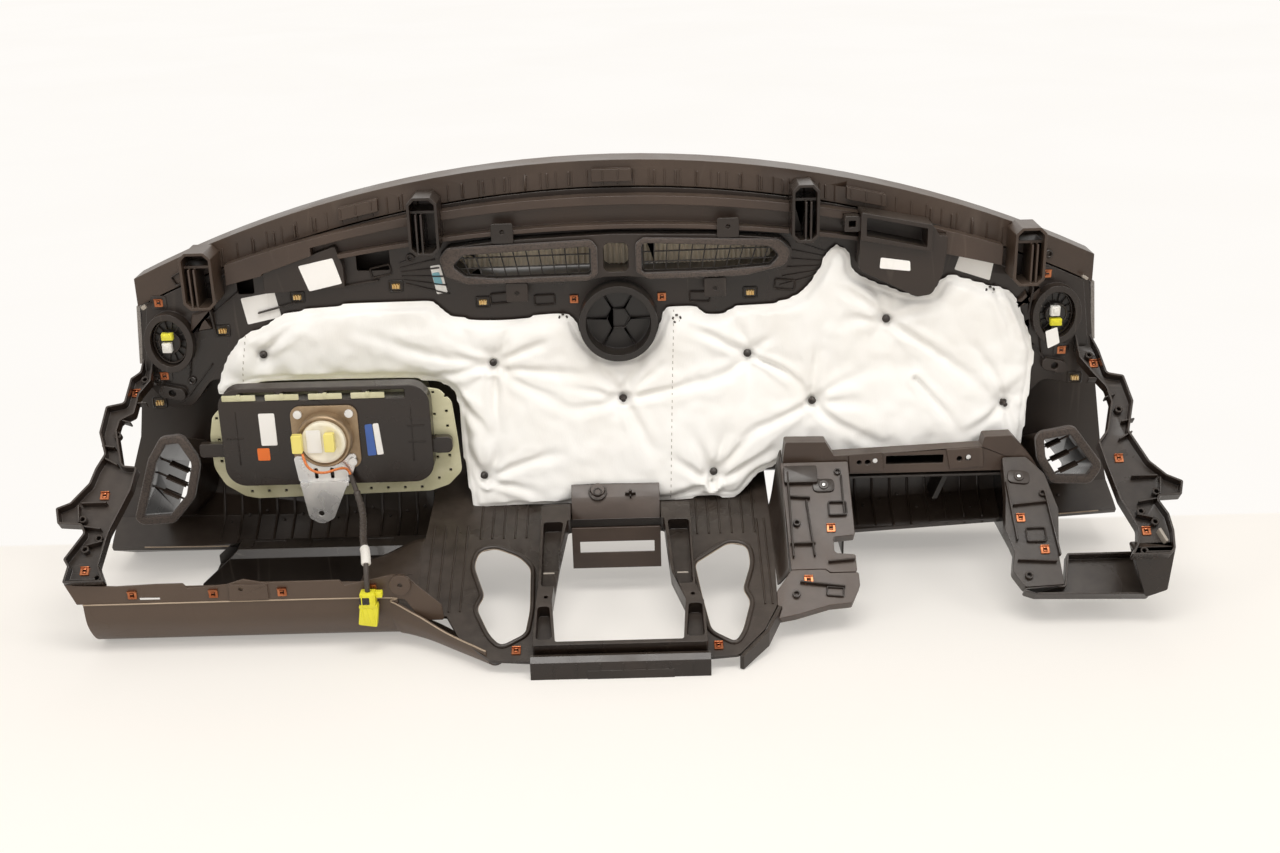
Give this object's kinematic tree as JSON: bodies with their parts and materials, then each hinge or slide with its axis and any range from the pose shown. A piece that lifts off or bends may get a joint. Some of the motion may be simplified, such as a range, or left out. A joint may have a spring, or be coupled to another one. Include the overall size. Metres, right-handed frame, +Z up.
{
  "type": "car dashboard assembly",
  "caption": "Removed car dashboard seen from its engine side: padded shell, carrier, insulation mat, passenger airbag, air ducts, speaker seats and mounting frames.",
  "frame": {"origin": "centre of the footprint on the floor, with the dashboard standing on its lower edges and its windscreen edge up", "axes": "+X along the dashboard's width, to the viewer's right when looking at its engine side; +Y away from that side, to the padded cabin face; +Z up"},
  "size_m": [1.5049, 0.432, 0.598],
  "materials": {
    "shell_skin": "soft foam-backed skin",
    "dark_plastic": "moulded, lightly grained",
    "grey_plastic": "moulded, lightly grained",
    "gloss_black": "polished mould",
    "foam_seal": "open-cell foam",
    "grey_foam": "open-cell foam",
    "white_felt": "pressed felt, slightly creased",
    "pale_coating": "satin coating",
    "tan_steel": "satin coating",
    "cream_steel": "satin coating",
    "zinc_steel": "bright zinc",
    "copper_steel": "copper-coloured plating",
    "brass_strip": "dull",
    "yellow_plastic": "moulded",
    "orange_cable": "cable sheath",
    "dark_cable": "cable sheath",
    "white_tape": "cloth tape",
    "pin_grey": "moulded"
  },
  "bodies": {
    "dashboard": {"airbag_bracket": "zinc_steel", "airbag_frame": "pale_coating", "airbag_housing": "dark_plastic", "airbag_lead": "dark_cable", "brass_clips": "brass_strip", "bridge_hood": "grey_plastic", "centre_face_panel": "dark_plastic", "centre_speaker_holder": "dark_plastic", "centre_stack_frame": "grey_plastic", "cluster_hood": "dark_plastic", "cluster_housing": "grey_plastic", "column_shelf": "dark_plastic", "dash_pad": "shell_skin", "defroster_grille_left": "dark_plastic", "defroster_grille_right": "dark_plastic", "defroster_housing": "dark_plastic", "defroster_seal_left": "foam_seal", "defroster_seal_right": "foam_seal", "driver_frame": "dark_plastic", "edge_strips": "grey_foam", "end_bracket_left": "dark_plastic", "end_bracket_right": "dark_plastic", "flange_bolts": "zinc_steel", "glovebox_duct": "gloss_black", "inflator": "cream_steel", "inflator_flange": "tan_steel", "inflator_plugs": "yellow_plastic", "insulation_mat": "white_felt", "knee_roll": "shell_skin", "lead_plug": "yellow_plastic", "lead_tape": "white_tape", "left_leg": "grey_plastic", "left_recess_cover": "grey_plastic", "locator_left_inner": "dark_plastic", "locator_left_outer": "dark_plastic", "locator_right_inner": "dark_plastic", "locator_right_outer": "dark_plastic", "lower_brace": "dark_plastic", "lower_rail": "dark_plastic", "push_pins": "pin_grey", "right_duct_box": "dark_plastic", "right_leg": "grey_plastic", "speaker_left": "dark_plastic", "speaker_plugs": "yellow_plastic", "speaker_right": "dark_plastic", "spring_nuts": "copper_steel", "squib_wire": "orange_cable", "upper_beam": "grey_plastic", "upper_carrier": "dark_plastic", "vent_duct_left": "dark_plastic", "vent_duct_right": "dark_plastic", "vent_seal_left": "foam_seal", "vent_seal_right": "foam_seal", "windscreen_band": "grey_plastic"},
    "vane_left_1": {"vane_left_1": "dark_plastic"},
    "vane_left_2": {"vane_left_2": "dark_plastic"},
    "vane_left_3": {"vane_left_3": "dark_plastic"},
    "vane_right_1": {"vane_right_1": "dark_plastic"},
    "vane_right_2": {"vane_right_2": "dark_plastic"},
    "vane_right_3": {"vane_right_3": "dark_plastic"}
  },
  "joints": [
    {"name": "vane_left_1_turn", "type": "hinge", "parent": "dashboard", "child": "vane_left_1", "pos_m": [-0.64128, 0.082, 0.1475], "axis": [0.8829, 0, -0.4695], "range_deg": [-30, 30]},
    {"name": "vane_left_2_turn", "type": "hinge", "parent": "dashboard", "child": "vane_left_2", "pos_m": [-0.63095, 0.082, 0.16692], "axis": [0.8829, 0, -0.4695], "range_deg": [-30, 30]},
    {"name": "vane_left_3_turn", "type": "hinge", "parent": "dashboard", "child": "vane_left_3", "pos_m": [-0.62062, 0.082, 0.18635], "axis": [0.8829, 0, -0.4695], "range_deg": [-30, 30]},
    {"name": "vane_right_1_turn", "type": "hinge", "parent": "dashboard", "child": "vane_right_1", "pos_m": [0.63476, 0.082, 0.15014], "axis": [0.8988, 0, 0.4384], "range_deg": [-30, 30]},
    {"name": "vane_right_2_turn", "type": "hinge", "parent": "dashboard", "child": "vane_right_2", "pos_m": [0.62511, 0.082, 0.16991], "axis": [0.8988, 0, 0.4384], "range_deg": [-30, 30]},
    {"name": "vane_right_3_turn", "type": "hinge", "parent": "dashboard", "child": "vane_right_3", "pos_m": [0.61547, 0.082, 0.18969], "axis": [0.8988, 0, 0.4384], "range_deg": [-30, 30]}
  ],
  "couplings": [
    {"joint": "vane_left_1_turn", "follows": "vane_left_2_turn", "ratio": 1},
    {"joint": "vane_left_3_turn", "follows": "vane_left_2_turn", "ratio": 1},
    {"joint": "vane_right_1_turn", "follows": "vane_right_2_turn", "ratio": 1},
    {"joint": "vane_right_3_turn", "follows": "vane_right_2_turn", "ratio": 1}
  ]
}
